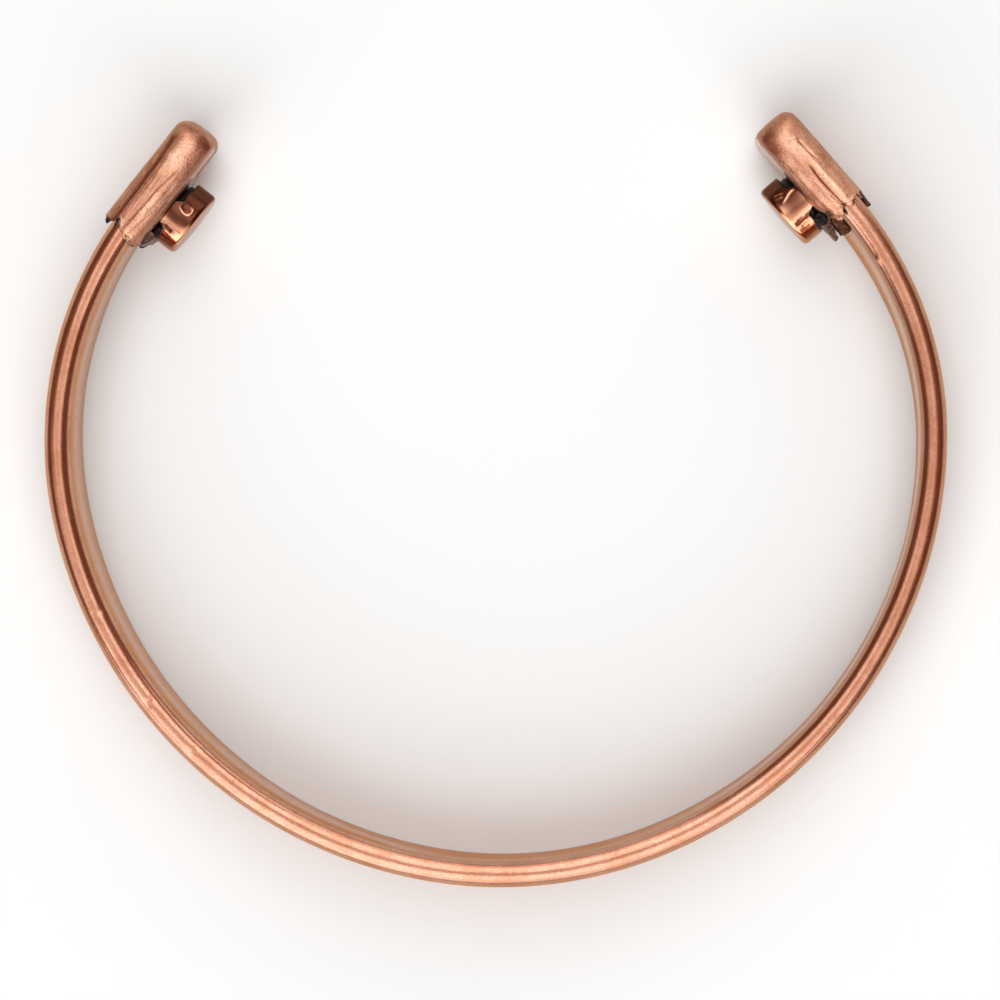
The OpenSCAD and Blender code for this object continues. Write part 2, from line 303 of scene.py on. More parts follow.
class Tree:
    """Adds nodes to a shader or geometry tree."""

    def __init__(self, group):
        self.group = group

    def fill(self, node, values):
        """Puts numbers, colours or wires into a node's sockets."""
        for key, value in values.items():
            socket = node.inputs[key]
            if isinstance(value, Wire):
                self.group.links.new(value.socket, socket)
            else:
                socket.default_value = (*value, 1) if socket.type == "RGBA" else value

    def add(self, kind, settings=None, values=None, output=0):
        """One node: its settings first, then what goes into its sockets. Returns one of its outputs."""
        node = self.group.nodes.new(kind)
        for name, value in (settings or {}).items():
            if name == "captures":
                for item_kind, item_name in value:
                    node.capture_items.new(item_kind, item_name)
            else:
                setattr(node, name, value)
        self.fill(node, values or {})
        return Wire(self, node.outputs[output]) if len(node.outputs) else None

    def stretch(self, vector, scales):
        """The vector with each axis multiplied by its own number."""
        return self.add("ShaderNodeVectorMath", {"operation": "MULTIPLY"}, {0: vector, 1: scales})

    def noise(self, vector, scale=1, detail=3, roughness=0.6):
        values = {"Vector": vector, "Scale": scale, "Detail": detail, "Roughness": roughness}
        return self.add("ShaderNodeTexNoise", None, values)

    def mix(self, factor, first, second):
        """A blend of two colours."""
        return self.add("ShaderNodeMix", {"data_type": "RGBA"}, {0: factor, 6: first, 7: second}, output=2)

    def between(self, value, low, high):
        """0 where the value is under low, 1 where it is over high, smooth between them."""
        settings = {"interpolation_type": "SMOOTHSTEP"}
        return self.add("ShaderNodeMapRange", settings, {0: value, 1: low, 2: high, 3: 0, 4: 1})

    def bump(self, height, distance, normal=None):
        values = {"Strength": 1, "Distance": distance, "Height": height}
        if normal is not None:
            values["Normal"] = normal
        return self.add("ShaderNodeBump", None, values)


# The materials made here, by name
FINISHES = {}


def new_material(name):
    """The tree that a new material's nodes go into, and its surface shader."""
    material = bpy.data.materials.new(name)
    material.use_nodes = True
    FINISHES[name] = material
    return Tree(material.node_tree), material.node_tree.nodes["Principled BSDF"]


def copper(name, bright, deep, pale, brown_and_shade, edge, rough, brushed, grained, patches, streaked, speckled):
    """Bare copper, from bright to deep. pale and the brown colour after it are its colours where a piece is
    paled, on the caps as a painted highlight, and where it is browned, partly as painted shade. edge is its
    tint at a glancing angle, rough the least and greatest roughness, brushed and grained the heights of the
    lines and of the pebbled grain in metres, and patches, streaked and speckled how much of the surface is
    darker in spots and lengthwise, and browned in pores. Each piece's own shades say where it is black, with
    oxide and painted shadow, brown, with tarnish and painted shade, paled, in places as a painted highlight,
    or under a thin clear film."""
    tree, shader = new_material(name)
    place = tree.add("ShaderNodeTexCoord", output="Object")
    grain = tree.add("ShaderNodeAttribute", {"attribute_name": "grain"}, output="Vector")
    oxide_and_shadow, brown, pale_and_highlight, film = (
        tree.add("ShaderNodeAttribute", {"attribute_name": shade}, output="Fac") for shade in SHADES
    )
    lines = tree.noise(tree.stretch(grain, (420, 5200, 5200)), roughness=0.65)
    streaks = tree.noise(tree.stretch(grain, (160, 1500, 1500)))
    pebbles = tree.noise(place, scale=6500, roughness=0.7)
    clouds = tree.noise(place, scale=420)
    stains = tree.between(tree.noise(place, scale=900, detail=4, roughness=0.65), 0.56, 0.72) * patches
    specks = tree.between(tree.noise(place, scale=5200, detail=2), 0.4, 0.6)
    black = (oxide_and_shadow * (0.75 + 0.5 * specks)).clamped()
    grey = pale_and_highlight * (0.2 + 0.8 * tree.between(streaks, 0.42, 0.58))
    scratches = 0.3 * tree.between(lines, 0.56, 0.66)
    streaking = streaked * tree.between(streaks, 0.45, 0.65)
    pores = speckled * tree.between(pebbles, 0.5, 0.66)
    tone = (0.8 * tree.between(clouds, 0.35, 0.7) + stains + streaking + scratches).clamped()
    colour = tree.mix(tone, bright, deep)
    # Pale paints highlights on the caps, brown is partly painted shade, and black is partly painted shadow.
    colour = tree.mix(grey, colour, pale)
    colour = tree.mix((brown + pores).clamped(), colour, brown_and_shade)
    colour = tree.mix(black, colour, OXIDE_AND_SHADOW_BLACK)
    low, high = rough
    gloss = low + (high - low) * (0.5 * lines + 0.5 * clouds) + 0.2 * stains + 0.35 * black + 0.15 * brown
    tree.fill(shader, {
        "Base Color": colour,
        "Metallic": (1 - 0.6 * black).clamped(),
        "Roughness": (gloss + 0.12 * grey).clamped(),
        "Specular Tint": edge,
        "Coat Weight": (film * (0.8 + 0.4 * streaks)).clamped(),
        "Coat Roughness": 0.2,
        "Normal": tree.bump(pebbles, grained, tree.bump(lines, brushed)),
    })


def magnet_black():
    """Black ferrite with a fine bluish sparkle."""
    tree, shader = new_material("magnet_black")
    place = tree.add("ShaderNodeTexCoord", output="Object")
    crumbs = tree.noise(place, scale=2600, detail=4, roughness=0.7)
    tree.fill(shader, {
        "Base Color": tree.mix(tree.between(crumbs, 0.45, 0.7), (0.005, 0.004, 0.006), (0.024, 0.02, 0.028)),
        "Roughness": 0.3 + 0.4 * crumbs,
        "Specular IOR Level": 0.2,
        "Normal": tree.bump(crumbs, 0.00003),
    })


def pale_floor():
    tree, shader = new_material("pale_floor")
    tree.fill(shader, {"Base Color": FLOOR_TINT, "Roughness": 0.85})


def heading(degrees):
    return np.array([math.cos(math.radians(degrees)), math.sin(math.radians(degrees))])


def left_of(degrees):
    return heading(degrees + 90)


def half_turns(degrees):
    """The same angles, from -180 to 180."""
    return (degrees + 180) % 360 - 180


def strip_route(depth):
    """Points along the strip, at a depth inwards from its outer face, and where and how it ends."""
    at = np.array(START_AT)
    way = START_HEADING
    points = []
    for radius, turn in BENDS:
        centre = at + radius * left_of(way)
        steps = math.ceil(radius * math.radians(turn) / STATION_GAP)
        for k in range(steps):
            points.append(centre - (radius - depth) * left_of(way + turn * k / steps))
        at = centre - radius * left_of(way + turn)
        way += turn
    return points, at, way


class End:
    """One end of the cuff, measured from its cap's tip, from the cap's outer face and from mid height.
    reach: from the tip to the strip's bends. outer_wall: the sheet over the strip's outer face. rim_gap:
    from the cap to the rim of its cup."""

    def __init__(self, at, way, hand, reach, outer_wall, rim_gap):
        self.at = np.array(at)
        self.ahead = heading(way)
        self.wristward = hand * left_of(way)
        self.reach = reach
        self.outer_wall = outer_wall
        self.rim_gap = rim_gap

    def place(self, local):
        """Points in metres."""
        from_tip, from_outer, height = (local[..., k, None] for k in range(3))
        along = (self.reach - from_tip) * self.ahead
        across = (from_outer - self.outer_wall) * self.wristward
        return np.concatenate([self.at + along + across, height + MID_HEIGHT], axis=-1) * MM


_, RIGHT_AT, RIGHT_WAY = strip_route(0)
LEFT = End(START_AT, START_HEADING + 180, -1, reach=8.36, outer_wall=0.72, rim_gap=0.55)
RIGHT = End(RIGHT_AT, RIGHT_WAY, 1, reach=9.1, outer_wall=0.45, rim_gap=0.7)

# Painted shadow on the strip where it runs into the mouths.
# Columns: end, from the tip, from the outer face, reach
MOUTH_SHADOWS = [(RIGHT, 8.6, 0.55, 0.42), (RIGHT, 8.75, 1.6, 0.3), (LEFT, 9.5, 0.72, 0.25), (LEFT, 9.1, 1, 0.3)]
MOUTH_SHADOW_HEIGHT = 3.9


def rise(value, low, high):
    """0 at low, 1 at high, smooth between them and level past them. low may be the greater of the two."""
    t = np.clip((value - low) / (high - low), 0, 1)
    return t * t * (3 - 2 * t)


def spot(along, across, at_along, at_across, reach_along, reach_across):
    """1 at a place, fading out round it."""
    return np.exp(-(((along - at_along) / reach_along) ** 2) - ((across - at_across) / reach_across) ** 2)


def ripples(points, wavelength, seed):
    """Smooth random heights around 0, one for each point."""
    draw = np.random.default_rng(seed)
    count = 24
    ways = draw.normal(size=(count, 3))
    ways /= np.linalg.norm(ways, axis=1)[:, None]
    lengths = wavelength * draw.uniform(0.7, 1.6, count)
    phases = draw.uniform(0, 2 * np.pi, count)
    waves = points @ (ways / lengths[:, None]).T * 2 * np.pi + phases
    return np.sin(waves).sum(-1) / math.sqrt(count)


def eased(points):
    """The points with their corners cut twice, so that the line through them bends softly."""
    points = np.array(points, float)
    for _ in range(2):
        cut = np.stack([0.75 * points[:-1] + 0.25 * points[1:], 0.25 * points[:-1] + 0.75 * points[1:]], 1)
        points = np.concatenate([points[:1], cut.reshape(-1, 2), points[-1:]])
    return points


def pressed(along, across, lines):
    """How deep the lines press a sheet in at each place. Each line fades out towards its two ends."""
    depth = np.zeros_like(along)
    for half, deep, points in lines:
        points = eased(points)
        near = np.full_like(along, np.inf)
        run = np.zeros_like(along)
        length = 0
        for (a0, b0), (a1, b1) in zip(points, points[1:]):
            da, db = a1 - a0, b1 - b0
            part = np.clip(((along - a0) * da + (across - b0) * db) / (da * da + db * db), 0, 1)
            away = np.hypot(along - a0 - part * da, across - b0 - part * db)
            closer = away < near
            near = np.where(closer, away, near)
            run = np.where(closer, length + part * math.hypot(da, db), run)
            length += math.hypot(da, db)
        fade = min(0.8, length * 0.3)
        to_end = np.minimum(run, length - run)
        depth += deep * np.exp(-((near / half) ** 2)) * rise(to_end, -0.02, fade)
    return depth


def hollowed(along, across, hollows):
    """How deep broad hollows press a sheet in at each place."""
    depth = np.zeros_like(along)
    for a, b, reach_a, reach_b, deep in hollows:
        depth += deep * spot(along, across, a, b, reach_a, reach_b)
    return depth


def grid_normals(points):
    """Unit normals of a grid that closes in its second direction."""
    down = np.gradient(points, axis=0)
    round_it = np.roll(points, -1, axis=1) - np.roll(points, 1, axis=1)
    normals = np.cross(round_it, down)
    return normals / np.maximum(np.linalg.norm(normals, axis=-1, keepdims=True), 1e-12)


def with_poles(values):
    """A stack's values in one list, and then the means of its first and of its last loop."""
    rows, count = values.shape[:2]
    flat = values.reshape(rows * count, -1)
    first, last = (values[k].reshape(count, -1).mean(0)[None] for k in (0, -1))
    return np.concatenate([flat, first, last])


def stack_faces(rows, count):
    """Quads between a stack's loops, and triangles from its first and last loop to their poles."""
    first, last = rows * count, rows * count + 1
    here = list(range(count))
    after = here[1:] + here[:1]
    faces = [(first, b, a) for a, b in zip(here, after)]
    for j in range(rows - 1):
        low, high = j * count, (j + 1) * count
        faces += [(low + a, low + b, high + b, high + a) for a, b in zip(here, after)]
    faces += [(high + a, high + b, last) for a, b in zip(here, after)]
    return faces


def point_outwards(points, faces):
    """Whether a closed shape's faces point outwards, as they do where the volume in them is positive."""
    triangles = [f[:3] for f in faces] + [(f[0], f[2], f[3]) for f in faces if len(f) == 4]
    corners = points[np.array(triangles)]
    return (corners[:, 0] * np.cross(corners[:, 1], corners[:, 2])).sum() > 0


def paint(mesh, shades):
    """Gives a mesh its shades, which are 0 where none is given."""
    for shade in SHADES:
        values = shades.get(shade, np.zeros(len(mesh.vertices)))
        mesh.attributes.new(shade, "FLOAT", "POINT").data.foreach_set("value", values.ravel())


def new_object(name, data):
    """An object in the scene."""
    item = bpy.data.objects.new(name, data)
    bpy.context.scene.collection.objects.link(item)
    return item


def closed_stack(name, end, local, grain, shades, finish):
    """A closed piece through a stack of loops of places at an end, pinched shut above and below. grain is
    where each place lies along and across the metal's grain, and finish the name of its material."""
    points = with_poles(end.place(local))
    faces = stack_faces(*local.shape[:2])
    if not point_outwards(points, faces):
        faces = [f[::-1] for f in faces]
    mesh = bpy.data.meshes.new(name)
    mesh.from_pydata(points.tolist(), [], faces)
    grains = mesh.attributes.new("grain", "FLOAT_VECTOR", "POINT").data
    grains.foreach_set("vector", with_poles(grain * MM).ravel())
    paint(mesh, {shade: with_poles(values) for shade, values in shades.items()})
    mesh.shade_smooth()
    mesh.set_sharp_from_angle(angle=SHARP_FROM)
    mesh.materials.append(FINISHES[finish])
    return new_object(name, mesh)


def cap_ring():
    """Places round a cap's section. Columns: which side across, which side in height, cosine, sine."""
    # Columns: side across, side in height, from and to in degrees, steps round it, steps to the next one
    corners = [
        (-1, 1, 180, 90, 40, 22), (1, 1, 90, 0, 40, 20),
        (1, -1, 0, -90, 24, 10), (-1, -1, -90, -180, 24, 20),
    ]
    rounds = []
    for across, up, start, end, steps, _ in corners:
        angles = np.radians(np.linspace(start, end, steps + 1))
        rounds.append([(across, up, math.cos(angle), math.sin(angle)) for angle in angles])
    ring = []
    for k, corner in enumerate(corners):
        ring += rounds[k]
        a, b = np.array(rounds[k][-1]), np.array(rounds[(k + 1) % len(rounds)][0])
        ring += [tuple(a + (b - a) * i / corner[5]) for i in range(1, corner[5])]
    return np.array(ring)


def cap_section(ring, half_thick, half_width, fold):
    """A rounded rectangle for each row of half sizes: from the outer face, and height."""
    half_thick, half_width, fold = (np.reshape(size, (-1, 1)) for size in (half_thick, half_width, fold))
    return (
        CAP_THICK / 2 + ring[:, 0] * (half_thick - fold) + ring[:, 2] * fold,
        ring[:, 1] * (half_width - fold) + ring[:, 3] * fold,
    )


def tip_inset(from_tip, radius):
    """How far a rounded tip draws its section in."""
    near = np.minimum(from_tip, radius)
    return radius - np.sqrt(np.maximum(radius ** 2 - (radius - near) ** 2, 0))


def mouth_line(ring, mouth, lip_cut, seed):
    """How far from the tip the mouth's edge lies at each place round a cap. lip_cut: the height where the
    outer face's lip is whole, the height where it is torn short, and by how much."""
    edge_from_outer, edge_from_tip = np.array(mouth).T
    from_outer, height = (row[0] for row in cap_section(ring, CAP_THICK / 2, CAP_WIDTH / 2, CAP_FOLD))
    places = np.stack([from_outer, height, 0 * from_outer], -1)
    on_wall = rise(CAP_WIDTH / 2 - np.abs(height), 0.2, 1.5)
    ragged = 0.12 * ripples(places, 1.1, seed)
    bitten = 0.05 * ripples(places, 0.3, seed + 10)
    edge = np.interp(from_outer, edge_from_outer, edge_from_tip) + ragged * on_wall
    edge = edge + bitten * rise(from_outer, 0.8, 1.1)
    whole_at, cut_at, shorter = lip_cut
    on_lip = 1 - rise(from_outer, 0.2, 0.5)
    return edge - shorter * on_lip * rise(height, whole_at, cut_at)


def leaned(from_tip, from_outer, height, leans):
    """A cap's distances from the outer face once its wrist side leans. leans: how far its floor edge goes
    towards the wrist at the tip and at the mouth."""
    tip_lean, mouth_lean = leans
    lean = tip_lean + (mouth_lean - tip_lean) * rise(from_tip, 2.5, 4.5)
    return from_outer + lean * (0.5 - height / CAP_WIDTH) * rise(from_outer, 1.5, CAP_THICK)


def smooth_skin(ring, mouth_at, leans, bite):
    """A cap's outer skin before it is creased, ring by ring from the tip to the mouth. Columns: minus the
    distance from the tip, from the outer face, height. bite is the depth of the notch near the mouth."""
    middle = CAP_THICK / 2
    widening = np.linspace(0.15, 1, TIP_ROWS)
    rounding = TIP_SIDE_ROUND * (1 - np.cos(np.radians(np.linspace(0, 90, ROUND_ROWS))[1:]))
    run = np.linspace(0, 1, RUN_ROWS)[1:] ** 0.97
    from_tip = np.concatenate([
        np.zeros((TIP_ROWS, len(ring))),
        rounding[:, None] + 0 * mouth_at,
        TIP_SIDE_ROUND + run[:, None] * (mouth_at - TIP_SIDE_ROUND),
    ])
    row_from_tip = np.concatenate([0 * widening, rounding, TIP_SIDE_ROUND + run * BITE_FROM_TIP])
    half_thick = middle - tip_inset(row_from_tip, TIP_ROUND)
    half_width = CAP_WIDTH / 2 - tip_inset(row_from_tip, TIP_SIDE_ROUND)
    fold = np.minimum(CAP_FOLD, half_thick - 0.02)
    from_outer, height = cap_section(ring, half_thick, half_width, fold)
    shrink = np.ones(len(half_thick))
    shrink[:TIP_ROWS] = widening
    from_outer = middle + (from_outer - middle) * shrink[:, None]
    height = height * shrink[:, None]
    crown = TIP_CROWN * (1 - ((from_outer - middle) / middle) ** 2) * (1 - rise(from_tip, 0, 1.2))
    from_tip = from_tip - crown * (1 - (height / CAP_WIDTH * 2) ** 2)
    from_outer = leaned(from_tip, from_outer, height, leans)
    notch = bite * np.exp(-(((from_tip - BITE_FROM_TIP) / BITE_REACH) ** 2))
    from_outer = from_outer - notch * rise(from_outer, 2.3, 3.3) * rise(height, 0.2, 1.6)
    return np.stack([-from_tip, from_outer, height], -1)


def skin_relief(base, on_edge, mouth_at, top, under, seed):
    """How deep a cap's long edges are pressed in, and how its whole skin is crumpled. top and under are
    the lines and the hollows of its upper and its floor edge."""
    from_tip, from_outer, height = -base[..., 0], base[..., 1], base[..., 2]
    wavering = from_outer + 0.012 * ripples(base * [0.5, 1, 1], 0.9, seed + 1)
    above, below = (
        pressed(from_tip, wavering, lines) + hollowed(from_tip, from_outer, hollows)
        for lines, hollows in (top, under)
    )
    depth = np.where(height > 0, above, below) * on_edge
    past_tip = rise(from_tip, 1.5, 4)
    near_mouth = rise(from_tip, mouth_at - 2.2, mouth_at)
    at_mouth = rise(from_tip, mouth_at - 0.9, mouth_at - 0.1) * rise(from_outer, 0.8, 1.1)
    drawn = ripples(base * [0.2, 1, 1], 0.36, seed + 2)
    crumple = drawn * (0.001 + 0.005 * past_tip + 0.01 * near_mouth)
    crumple = crumple + 0.012 * ripples(base, 1.6, seed + 3) + 0.003 * ripples(base, 0.5, seed + 6)
    crumple = crumple + 0.022 * at_mouth * ripples(base, 0.26, seed + 9)
    return depth, crumple


def cap_lining(ring, mouth_at, leans, skin_edge):
    """The wall of a cap's hollow, ring by ring from the mouth to the tip, in the outer skin's columns. Its
    first ring is drawn towards the outer skin's edge."""
    from_tip = np.linspace(1, 0, LINING_ROWS)[:, None] * (mouth_at - TIP_WALL) + TIP_WALL
    from_outer, height = cap_section(ring, CAP_THICK / 2 - SHEET, CAP_WIDTH / 2 - SHEET, LINING_FOLD)
    from_outer = leaned(from_tip, from_outer, height, leans)
    lining = np.stack([-from_tip, from_outer, height + 0 * from_tip], -1)
    lining[0] = lining[0] + (skin_edge - lining[0]) * [1, 0.12, 0.12]
    return lining


def cap_shades(base, depth, on_edge, mouth_at, painted_light, seed):
    """A cap's shades. Its creases are browned with their depth, partly as patina and partly as painted
    shade, its wrist face is browned, and its rim and hollow are painted black as the shade inside it.
    """
    from_tip, from_outer = -base[..., 0], base[..., 1]
    # The mouth's ragged edge and the outer lip by it are painted black, as the shadow under them.
    at_mouth = rise(from_tip, mouth_at - 0.2, mouth_at) * (0.5 + 0.5 * ripples(base, 0.4, seed + 4))
    at_lip = rise(from_tip, 9.3, 9.6) * (1 - rise(from_outer, 0.5, 0.8)) * 1.6
    blotches = rise(ripples(base, 0.7, seed + 5), 0.2, 0.9) * rise(from_tip, 6.8, 8.4)
    blotches = blotches * rise(from_outer, 3.2, 3.4)
    film = rise(from_outer, CAP_THICK - 0.25, CAP_THICK - 0.05)
    # Creases are browned with their depth, partly as patina and partly as painted shade.
    brown = np.clip(np.maximum(depth, 0) * 8, 0, 0.7) * on_edge + 0.35 * film
    pale_and_highlight = 0 * film
    mottle = 0.9 + 0.2 * ripples(base, 0.5, seed + 8)
    # Painted shade browns the skin where how much is positive, and painted highlights pale it where it is
    # negative.
    for a, b, reach_a, reach_b, much in painted_light:
        patch = spot(from_tip, from_outer, a, b, reach_a, reach_b) * on_edge * mottle
        brown = brown + max(much, 0) * patch
        pale_and_highlight = pale_and_highlight + max(-much, 0) * patch
    # The rim and the hollow are painted black, as the shade inside the cap.
    unseen = np.zeros((1 + LINING_ROWS, base.shape[1]))
    black = unseen + 1
    black[0] = 0.8
    parts = zip(SHADES, (at_mouth + at_lip + blotches, brown, pale_and_highlight, film), (black, unseen, unseen, unseen))
    return {shade: np.concatenate([np.clip(seen, 0, 1), hidden]) for shade, seen, hidden in parts}


def cap(node, end, mouth, lip_cut, top, under, painted_light, leans, bite, seed):
    """A folded sheet cap: its outer skin from the tip to the ragged mouth, and its hollow back again."""
    ring = cap_ring()
    mouth_at = mouth_line(ring, mouth, lip_cut, seed)
    base = smooth_skin(ring, mouth_at, leans, bite)
    normals = grid_normals(base)
    from_inside = base - [-5, CAP_THICK / 2, 0]
    normals = normals * np.sign((normals * from_inside).sum(-1).mean())
    on_edge = rise(np.abs(base[..., 2]), CAP_WIDTH / 2 - 1.3, CAP_WIDTH / 2 - 0.5)
    depth, crumple = skin_relief(base, on_edge, mouth_at, top, under, seed)
    skin = base - (depth + crumple)[..., None] * normals
    skin[..., 2] = np.clip(skin[..., 2], -CAP_WIDTH / 2, CAP_WIDTH / 2 + LIP_PROUD)
    lining = cap_lining(ring, mouth_at, leans, skin[-1])
    rim = (skin[-1] + lining[0]) / 2 - [0.05, 0, 0]
    local = np.concatenate([skin, rim[None], lining])
    shades = cap_shades(base, depth, on_edge, mouth_at, painted_light, seed)
    piece = closed_stack(node + "_finish", end, local * [-1, 1, 1], local, shades, "cap_copper")
    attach(piece, "root")
    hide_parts(node)


def torn_sheet(name, end, outline, low, high, shades, seed):
    """A torn piece of sheet: an outline (from the tip, from the outer face) that stands from low to high."""
    corners = np.array(outline + outline[:1])
    side = []
    for a, b in zip(corners, corners[1:]):
        side += [a + (b - a) * k / FLAP_STEPS for k in range(FLAP_STEPS)]
    side = np.array(side)
    middle = side.mean(0)
    rows = []
    for k, height in enumerate(np.linspace(low, high, FLAP_ROWS)):
        part = k / (FLAP_ROWS - 1)
        ring = middle + (side - middle) * (1 - FLAP_TAPER * (2 * part - 1) ** 6)
        ring = ring + [0, FLAP_BOW * (part - 0.5) ** 2]
        rows.append(np.concatenate([ring, np.full((len(ring), 1), height)], axis=1))
    local = np.array(rows)
    local = local + FLAP_ROUGH * np.stack([ripples(local, 0.6, seed + k) for k in range(3)], -1)
    mottle = 0.9 + 0.2 * ripples(local, 0.5, seed + 7)
    shades = {shade: np.clip(much * mottle, 0, 3) for shade, much in shades.items()}
    piece = closed_stack(name, end, local, local, shades, "cap_copper")
    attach(piece, "root")


def cup_profile(rim, face):
    """How far each of a cup's rows lies from its axis and from the cap's outer face, from the middle of the
    wrist face over the edge and down to the rim, then up inside, and how many of them are outside."""
    radius = CUP_D / 2
    flat = radius - CUP_EDGE
    bore = radius - CUP_WALL
    ceiling = face - CUP_WALL
    domed = np.array([0.4, 0.9, 1.4, 1.8, 2.1]) * flat / 2.2
    rows = [(r, face + CUP_DOME * (1 - (r / flat) ** 2)) for r in domed]
    for a in np.radians(np.linspace(90, 0, CUP_EDGE_ROWS)):
        rows.append((flat + CUP_EDGE * math.cos(a), face - CUP_EDGE + CUP_EDGE * math.sin(a)))
    for k in range(1, CUP_SIDE_ROWS + 1):
        rows.append((radius, face - CUP_EDGE + (rim - face + CUP_EDGE) * k / CUP_SIDE_ROWS))
    outer_rows = len(rows)
    rows.append((radius - CUP_WALL / 2, rim - 0.05))
    rows += [(bore, rim + (ceiling - rim) * part) for part in (0, 0.5, 1)]
    rows += [(r, ceiling) for r in (1.5, 0.6)]
    r, y = (np.array([np.broadcast_to(row[k], rim.shape) for row in rows]) for k in (0, 1))
    return r, y, outer_rows


def cup(node, end, tab_turn, pleats, brown_and_shade, seed):
    """A drawn cup. Its angles run from its top towards the cap's tip."""
    radius = CUP_D / 2
    face = CAP_THICK + end.rim_gap + CUP_H
    angle = np.linspace(0, 2 * np.pi, CUP_SIDES, endpoint=False)
    degrees = half_turns(np.degrees(angle))
    off_tab = np.minimum(np.abs(degrees - tab_turn), np.abs(half_turns(degrees - 180 + tab_turn)))
    cut = rise(off_tab, TAB_HALF, TAB_HALF + TAB_FLARE)
    uneven = 0.05 * ripples(np.stack([np.cos(angle), np.sin(angle), 0 * angle], -1) * radius, 1.6, seed)
    rim = CAP_THICK + SEAT_GAP + cut * (end.rim_gap - SEAT_GAP + uneven)
    r, y, outer_rows = cup_profile(rim, face)

    height = y - CAP_THICK
    on_side = rise(r, radius - 0.25, radius - 0.05)
    from_top = np.radians(degrees) * radius + 0 * r
    from_under = np.radians((degrees + 360) % 360 - 180) * radius + 0 * r
    places = np.stack([r * np.sin(angle), y, r * np.cos(angle)], -1)
    folds = pressed(from_top, height, pleats) + pressed(from_under, height, pleats)
    sink = folds * on_side + 0.012 * ripples(places, 1.6, seed + 1)
    sink[outer_rows:] = 0
    r = r - sink * rise(r, 0.5, 2.2)

    rim_black = rise(-(y - rim), -0.12, 0) * cut * 0.8
    # The cup's inside is painted black, as shade.
    rim_black[outer_rows:] = 1
    brown = np.zeros_like(r)
    for a, b, reach_a, reach_b, much in brown_and_shade:
        brown += much * np.exp(-np.abs((from_top - a) / reach_a) ** 3 - np.abs((height - b) / reach_b) ** 3)
    # Raised ridges are kept clear of the painted brown.
    off_ridges = 1 - np.clip(-folds * 22, 0, 0.85)
    shades = {
        "oxide_and_shadow": rim_black,
        "brown": np.clip(brown, 0, 1) * off_ridges * on_side + 0.1 * (1 - on_side),
        "pale_and_highlight": 0.3 * (1 - on_side),
        "film": 0.15 * (1 - on_side),
    }
    local = np.stack([CUP_FROM_TIP - r * np.sin(angle), y, r * np.cos(angle)], -1)
    grain = np.stack([y, r * np.sin(angle), r * np.cos(angle)], -1)
    piece = closed_stack(node + "_finish", end, local, grain, shades, "cup_copper")
    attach(piece, "root")
    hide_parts(node)


def magnet(node, end, burr, seed):
    """A disc magnet with worn edges, and a burr that stands out under the rim towards the mouth.
    burr: its turn from the top and its half width in degrees, and how far it stands out."""
    radius = MAGNET_D / 2
    low = CAP_THICK + SEAT_GAP
    high = CAP_THICK + end.rim_gap + CUP_H - CUP_WALL - SEAT_GAP
    side = high - low - 2 * MAGNET_BEVEL
    profile = [(0.8, low), (1.6, low), (radius - MAGNET_BEVEL, low), (radius, low + MAGNET_BEVEL)]
    profile += [(radius, low + MAGNET_BEVEL + side * k / MAGNET_ROWS) for k in range(1, MAGNET_ROWS + 1)]
    profile += [(radius - MAGNET_BEVEL, high), (1.6, high), (0.8, high)]
    angle = np.linspace(0, 2 * np.pi, MAGNET_SIDES, endpoint=False)
    r, y = (np.array(column)[:, None] + 0 * angle for column in zip(*profile))
    places = np.stack([r * np.sin(angle), y, r * np.cos(angle)], -1)
    burr_turn, burr_half, burr_out = burr
    off_burr = (half_turns(np.degrees(angle)) - burr_turn) / burr_half
    under_rim = 1 - rise(y, low + end.rim_gap - 0.25, low + end.rim_gap)
    out = burr_out * np.exp(-(off_burr ** 2)) * under_rim * rise(r, 1.2, 2)
    out = out * (1 + 0.35 * ripples(places, 0.5, seed + 1))
    r = r + out + 0.02 * ripples(places, 0.5, seed) * rise(r, 1, 2)
    local = np.stack([CUP_FROM_TIP - r * np.sin(angle), y, r * np.cos(angle)], -1)
    piece = closed_stack(node + "_finish", end, local, places, {}, "magnet_black")
    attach(piece, "root")
    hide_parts(node)


def crumb(name, end, centre, sizes, seed):
    """A rough lump beside a magnet. centre and sizes: from the tip, from the outer face, height."""
    tilt = np.linspace(0, np.pi, 38)[1:-1]
    turn = np.linspace(0, 2 * np.pi, 56, endpoint=False)
    ball = np.stack([
        np.sin(tilt)[:, None] * np.cos(turn),
        np.sin(tilt)[:, None] * np.sin(turn),
        np.cos(tilt)[:, None] + 0 * turn,
    ], -1)
    boxy = ball / np.maximum(np.abs(ball).max(-1, keepdims=True), 0.8)
    local = boxy * sizes + centre
    rough = 0.06 * ripples(local, 0.5, seed) + 0.02 * ripples(local, 0.2, seed + 1)
    local = local + ball * rough[..., None]
    piece = closed_stack(name, end, local, local, {}, "magnet_black")
    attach(piece, "root")


